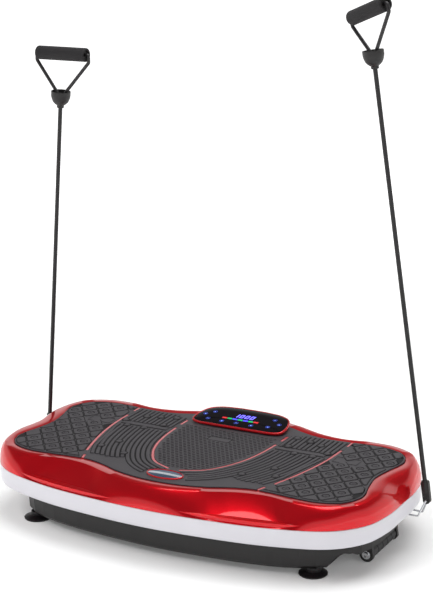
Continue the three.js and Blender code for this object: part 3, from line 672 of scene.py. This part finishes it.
def makeDiamonds(s, parts, shadePatches):
    for i in range(-4, 7):
        for j in range(-8, 9):
            x, y = s["firstX"] + s["diamondX"] * i, s["firstY"] + s["diamondY"] * j
            x0, x1, y0, y1 = s["label"]
            onLabel = x0 - 6 < x < x1 + 6 and y0 - 8 < y < y1 + 8
            if (i + j) % 2 or onLabel or depthInside((x, y), matLoop) < -16:
                continue
            free = min(depthInside((x, y), matLoop), x - slotX(s["outerSlot"], y))
            for k in (1, -1):
                # the wider, flat outline is a dark sheet of painted shade round the pad; the smaller one is the
                # raised pad
                for scale, margin, high in ((0.99, 3.2, s["floor"]), (0.86, 4.6, s["high"])):
                    a, b = s["diamondX"] * scale, s["diamondY"] * scale
                    tips = ((a, 0), (0, b), (-a, 0), (0, -b))
                    corner = [vec(k * x + dx, y + dy, 0) for dx, dy in tips]
                    lobe = (k * s["lobe"][0], s["lobe"][1])
                    path = spun(rounded(corner, 3.5, 5, True), 48)
                    path = np.array([drawnIn(q, lobe, s["outerSlot"], margin) for q in path])
                    if areaOf(path) < s["leastArea"]:
                        continue
                    if high == s["floor"]:
                        shadePatches.append(pad(path, s["low"], high, 0.02))
                        continue
                    if free < 15:
                        parts.append(pad(path, s["low"], high, 0.6))
                        continue
                    # the hole shows the painted shade sheet beneath as a dark ring
                    turn = math.atan2(*(path[0] - (k * x, y))[::-1])
                    spin = [turn + 2 * math.pi * n / 48 for n in range(48)]
                    hole = [(k * x + 7.4 * math.cos(t), y + 7.4 * math.sin(t)) for t in spin]
                    parts.append(pad(path, s["low"], high, 0.6, hole))
                if free < 15:
                    continue
                boss = [(r, s["high"] + up) for r, up in s["boss"]]
                parts.append(turned([(5.6, s["low"]), *boss], 26, Matrix.Translation((k * x, y, 0))))


def makeRelief(s):
    parts, shadePatches = [], []
    # flat strips at floor height in the dark rubber, for the painted shade in the gaps
    shadeSheet = {**s, "high": s["floor"], "bevel": 0.02}
    makeDiamonds(s, parts, shadePatches)
    for k in (1, -1):
        x0, x1, y0, y1 = s["label"]
        corner = [vec(k * x0, y0, 0), vec(k * x1, y0, 0), vec(k * x1, y1, 0), vec(k * x0, y1, 0)]
        path = rounded(corner, 3.0, 4, True)
        parts.append(ridge([(q.x, q.y) for q in path], 0.9, s, True, s["high"] - 0.3))
    # ribs round the middle pad run on through the sides, each over a dark sheet of painted shade
    whole = s["innerSlot"] + [(-x, y) for x, y in s["innerSlot"][::-1]]
    line0 = catmull(whole, False, 200)
    along = np.gradient(line0, axis=0)
    along /= np.linalg.norm(along, axis=1)[:, None]
    side = np.stack([-along[:, 1], along[:, 0]], 1)
    for rib in range(12):
        line = line0 + side * (8.5 + s["pitch"] * rib)
        for k in (1, -1):
            run = []
            for x, y in line:
                outer = slotX(s["outerSlot"], y) - 9
                badge = (x / 41) ** 2 + ((y + 150) / 25) ** 2 > 1
                pocket = rib < 5 or y > -116 + max(0, abs(abs(x) - 146) - 22) * 0.5
                here = k * x > 0.5 and y < 45 and abs(x) < outer and badge and pocket
                if here and depthInside((x, y), matLoop) > 6:
                    run.append((x, y))
            if len(run) > 6:
                parts.append(ridge(run, s["ribHalf"], s))
                shadePatches.append(ridge(run, s["pitch"] / 2 + 0.2, shadeSheet))
        # upper ribs run straight to the rear edge
        x = 114 + s["pitch"] * rib
        if x < 218:
            for k in (1, -1):
                run = [(k * x, y) for y in (66, 90, 134 - 8 * (x < 128))]
                parts.append(ridge(run, s["ribHalf"], s))
                shadePatches.append(ridge(run, s["pitch"] / 2 + 0.2, shadeSheet))
    for k in (1, -1):
        # each bar and stud sits on a wider flat patch of painted shade
        bar = [(k * x, 55.5) for x in (112, 160, 208)]
        shadePatches.append(ridge(bar, 7.5, shadeSheet))
        parts.append(ridge(bar, 5.2, s))
        for x, y in s["studs"]:
            spot = Matrix.Translation((k * x, y, 0))
            shadePatches.append(turned([(r, s["high"] + up) for r, up in s["studShade"]], 28, spot))
            parts.append(turned([(r, s["high"] + up) for r, up in s["stud"]], 24, spot))
    # middle pad: rows of short dashes
    for i in range(-14, 15):
        for j in range(-16, 16):
            x, y = 8.6 * i + 4.3 * (j % 2), -18 + 7.4 * j
            if y > 98 or y < -112 or (abs(x) < 24 and 38 < y < 62):
                continue
            if abs(x) > slotX(s["innerSlot"] + [(104, 118)], y) - 9:
                continue
            # each dash sits on a wider flat patch of painted shade
            d = 1.6
            parts.append(ridge([(x - d, y - d), (x, y), (x + d, y + d)], 1.1, s, False, s["high"]))
            d = 1.9
            shadePatches.append(ridge([(x - d, y - d), (x, y), (x + d, y + d)], 1.9, shadeSheet))
    # the blank label's frame is a flat dark line of painted groove shade
    frameLine = rounded([vec(-22, 41, 0), vec(22, 41, 0), vec(22, 59, 0), vec(-22, 59, 0)], 2.0, 4, True)
    shadePatches.append(ridge([(q.x, q.y) for q in frameLine], 1.1, shadeSheet, True))
    return together(*parts), together(*shadePatches)


relief, grooveShadeMesh = makeRelief(reliefSet)
piece("matRelief", relief, looks["mat_rubber"], "platform", (), 30)
# the dark sheets under the relief are painted shade in its gaps and round its pads
piece("matGrooveShade", grooveShadeMesh, looks["groove_shade"], "platform", (), 30)
print("mat relief")

# badge
badgeSet = {"y": -150, "a": 35, "b": 19.5, "low": 133.6}


def oval(a, b, z, s, count=96):
    spin = [2 * math.pi * k / count for k in range(count)]
    return np.array([(a * math.cos(t), s["y"] + b * math.sin(t), z) for t in spin])


def makeBadge(s):
    a, b, low = s["a"], s["b"], s["low"]
    rim = [
        oval(a, b, low, s), oval(a, b, low + 1.6, s), oval(a - 0.5, b - 0.5, low + 2.2, s),
        oval(a - 1.2, b - 1.2, low + 2.4, s), oval(a - 2, b - 2, low + 2.1, s),
        oval(a - 2.2, b - 2.2, low + 1.2, s),
    ]
    piece("badgeRim", skin(rim), looks["red_shell"], "platform", (), 40)
    face = []
    for k in range(9):
        u = k / 8
        dome = low + 1.3 + 1.1 * (1 - (1 - u) ** 2)
        face.append(oval((a - 2.4) * (1 - u) + 0.3, (b - 2.4) * (1 - u) + 0.2, dome, s))
    piece("badgeFace", skin(face), looks["badge_metal"], "platform", ["badge"], 40)


makeBadge(badgeSet)

# display pod
podSet = {
    "half": [
        (0, -8), (48, -8), (78, -6.5), (91, 0), (94.5, 15), (92, 36), (83, 56), (64, 68), (34, 73), (0, 74),
    ],
    "place": Matrix.Translation((0, 114, 135.4)) @ Matrix.Rotation(math.radians(6.3), 4, "X"),
    "thick": 5.2, "around": 200,
}


def glow(name, color, strength):
    look = Look(name, Emission_Strength=strength, Roughness=0.4)
    cloud = look.noise(60, 1)
    dim = tuple(c * 0.85 for c in color)
    look.into("Base Color", look.mix(cloud, dim, color))
    look.into("Emission Color", look.mix(cloud, dim, color))
    return look


glows = {
    "digit": glow("digitBlue", (0.16, 0.14, 1.0), 1.8),
    "key": glow("keyBlue", (0.015, 0.03, 0.30), 0.7),
    "icon": glow("iconPale", (0.16, 0.26, 0.9), 0.8),
    "red": glow("barRed", (0.55, 0.01, 0.015), 0.7),
    "green": glow("barGreen", (0.0, 0.36, 0.10), 0.7),
    "blue": glow("barBlue", (0.06, 0.06, 0.85), 0.8),
}


def podLoop(s):
    loop = s["half"] + [(-x, y) for x, y in s["half"][1:-1][::-1]]
    return catmull(loop, True, s["around"])


def placed(shape, place):
    return [place @ Vector(p) for p in shape[0]], shape[1]


def makePod(s):
    loop, t = podLoop(s), s["thick"]
    stack = [
        (2.2, 0), (1.2, 0.2), (0.4, 0.8), (0, 1.8), (0, t - 1.8), (0.25, t - 0.9), (0.8, t - 0.25), (1.5, t),
        (2.3, t), (2.9, t - 0.25), (3.15, t - 0.8), (3.2, t - 3.6),
    ]
    bezel = placed(skin([at(inset(loop, d), z) for d, z in stack]), s["place"])
    neck = []
    for z, x, y0, y1 in ((-12, 76, 27, 69), (1, 76, 26, 69)):
        ring = rounded([vec(-x, y0, z), vec(x, y0, z), vec(x, y1, z), vec(-x, y1, z)], 5, 6, True)
        neck.append([s["place"] @ q for q in ring])
    neck = [[vec(q.x, q.y, max(q.z, 132.0)) for q in ring] for ring in neck]
    piece(
        "displayBezel", together(bezel, skin(neck)), looks["red_shell"], "platform",
        ["display_bezel"], 40,
    )
    glass = [(3.4, t - 1.9), (3.4, t - 0.7), (3.6, t - 0.4), (4.2, t - 0.3)]
    glass += [(20, t - 0.25)]
    piece(
        "displayLens", placed(skin([at(inset(loop, d), z) for d, z in glass]), s["place"]),
        looks["display_glass"], "platform", ["display_glass"], 40,
    )


def plate(corners, s, lift=0.0):
    low, high = s["thick"] - 0.4, s["thick"] + lift
    rings = [[vec(x, y, z) for x, y in corners] for z in (low, high)]
    return placed(skin(rings), s["place"])


def annulus(x, y, r0, r1, s, count=28):
    outer, inner = ringPath(x, y, r1, count), ringPath(x, y, r0, count)
    low, high = s["thick"] - 0.4, s["thick"]
    walls = ((outer, low), (outer, high), (inner, high), (inner, low))
    rings = [[vec(*q, z) for q in loop] for loop, z in walls]
    return placed(skin(rings, True), s["place"])


def block(x0, x1, y0, y1, s, lean=0.0):
    return plate([(x0 + lean * y0, y0), (x1 + lean * y0, y0), (x1 + lean * y1, y1), (x0 + lean * y1, y1)], s)


def makeGraphics(s):
    keys = [
        (-64.3, 41.8, "up"), (-77.8, 28.0, "dot"), (-64.0, 11.2, "bar"), (-34.0, 9.3, "plus"),
        (-4.3, 10.2, "bar"),
        (26.5, 9.3, "dot"), (58.8, 14.2, "plus"), (74.8, 30.0, "up"), (59.2, 44.8, "bar"),
    ]
    rings, icons = [], []
    for x, y, kind in keys:
        rings.append(annulus(x, y, 3.5, 4.3, s))
        if kind == "up":
            icons.append(plate([(x - 2, y - 1.4), (x + 2, y - 1.4), (x, y + 2)], s))
        if kind == "dot":
            icons.append(plate(ringPath(x, y, 1.6, 16), s))
        if kind in ("bar", "plus"):
            icons.append(block(x - 2, x + 2, y - 0.5, y + 0.5, s))
        if kind == "plus":
            icons.append(block(x - 0.5, x + 0.5, y - 2, y + 2, s))
    piece("keyRings", together(*rings), glows["key"], "platform")
    piece("keyIcons", together(*icons), glows["icon"], "platform")
    # seven-segment digits, leaning a little
    w, h, line, lean = 7.2, 13.0, 1.9, 0.14
    segments = {
        "a": (0, w, h - line, h), "g": (0, w, h / 2 - line / 2, h / 2 + line / 2), "d": (0, w, 0, line),
        "f": (0, line, h / 2, h), "b": (w - line, w, h / 2, h), "e": (0, line, 0, h / 2),
        "c": (w - line, w, 0, h / 2),
    }
    shapes = []
    for k, lit in enumerate(("bc", "abcdef", "abcdef", "abcdef")):
        x = -21.5 + 10.8 * k - lean * 32
        for key in lit:
            x0, x1, y0, y1 = segments[key]
            shapes.append(block(x + x0, x + x1, 32.5 + y0, 32.5 + y1, s, lean))
    piece("digits", together(*shapes), glows["digit"], "platform")
    colors = ("red", "green", "blue", "green", "blue", "green", "red")
    for color in ("red", "green", "blue"):
        cells = [
            block(-40 + 10.8 * k, -40 + 10.8 * k + 9.6, 21.5, 26.5, s) for k in range(7) if colors[k] == color
        ]
        piece(f"bar_{color}", together(*cells), glows[color], "platform")


makePod(podSet)
makeGraphics(podSet)
print("display")


# floor and light
bpy.context.scene.view_settings.view_transform = "Standard"

lightSet = {
    "lamps": {
        "key": {"at": (-1.9, -2.0, 3.0), "size": 2.4, "power": 95, "gloss": False},
        "top": {"at": (0.3, 0.7, 3.0), "size": 2.6, "power": 80, "gloss": True},
        "side": {"at": (3.0, -1.4, 1.8), "size": 1.6, "power": 25, "gloss": False},
    },
    "horizon": 0.85, "overhead": 0.10, "fadeFrom": 0.32, "fadeTo": 0.46,
    "reach": 40, "glowFrom": 1.1, "glowTo": 3.0, "glowLow": 0.1,
}


def makeStage(s):
    mesh = bpy.data.meshes.new("floor")
    far = s["reach"]
    mesh.from_pydata([(-far, -far, 0), (far, -far, 0), (far, far, 0), (-far, far, 0)], [], [(0, 1, 2, 3)])
    paper = plain("floorPaper", (0.86, 0.86, 0.86), (0.88, 0.88, 0.88), 0.9, 0, 0, 0.02)
    # the paper glows away from the object, so that it stays white to the horizon
    away = paper.node("ShaderNodeVectorMath", [paper.place], output="Value", operation="LENGTH")
    span = {
        "Value": away, "From Min": s["glowFrom"], "From Max": s["glowTo"], "To Min": s["glowLow"], "To Max": 1.0,
    }
    glowing = paper.node("ShaderNodeMapRange", span)
    paper.into("Emission Color", paper.node("ShaderNodeCombineXYZ", [glowing, glowing, glowing]))
    paper.shader.inputs["Emission Strength"].default_value = 1.0
    mesh.materials.append(paper.material)
    floor = bpy.data.objects.new("floor", mesh)
    bpy.context.scene.collection.objects.link(floor)
    for name, lamp in s["lamps"].items():
        data = bpy.data.lights.new(name, "AREA")
        data.size = lamp["size"]
        data.energy = lamp["power"]
        obj = bpy.data.objects.new(name, data)
        obj.location = lamp["at"]
        obj.visible_glossy = lamp["gloss"]
        obj.rotation_mode = "QUATERNION"
        obj.rotation_quaternion = (Vector(lamp["at"]) - vec(0, 0, 0.1)).to_track_quat("Z", "Y")
        bpy.context.scene.collection.objects.link(obj)
    # a white wall at the horizon that fades to a dim ceiling
    world = bpy.data.worlds.new("studio")
    world.use_nodes = True
    tree = world.node_tree
    place = tree.nodes.new("ShaderNodeTexCoord")
    split = tree.nodes.new("ShaderNodeSeparateXYZ")
    fade = tree.nodes.new("ShaderNodeMapRange")
    tree.links.new(place.outputs["Generated"], split.inputs[0])
    tree.links.new(split.outputs["Z"], fade.inputs["Value"])
    sockets = {"From Min": "fadeFrom", "From Max": "fadeTo", "To Min": "horizon", "To Max": "overhead"}
    for key, value in sockets.items():
        fade.inputs[key].default_value = s[value]
    tree.nodes["Background"].inputs["Color"].default_value = (1, 1, 1, 1)
    tree.links.new(fade.outputs["Result"], tree.nodes["Background"].inputs["Strength"])
    bpy.context.scene.world = world


makeStage(lightSet)
print("stage")
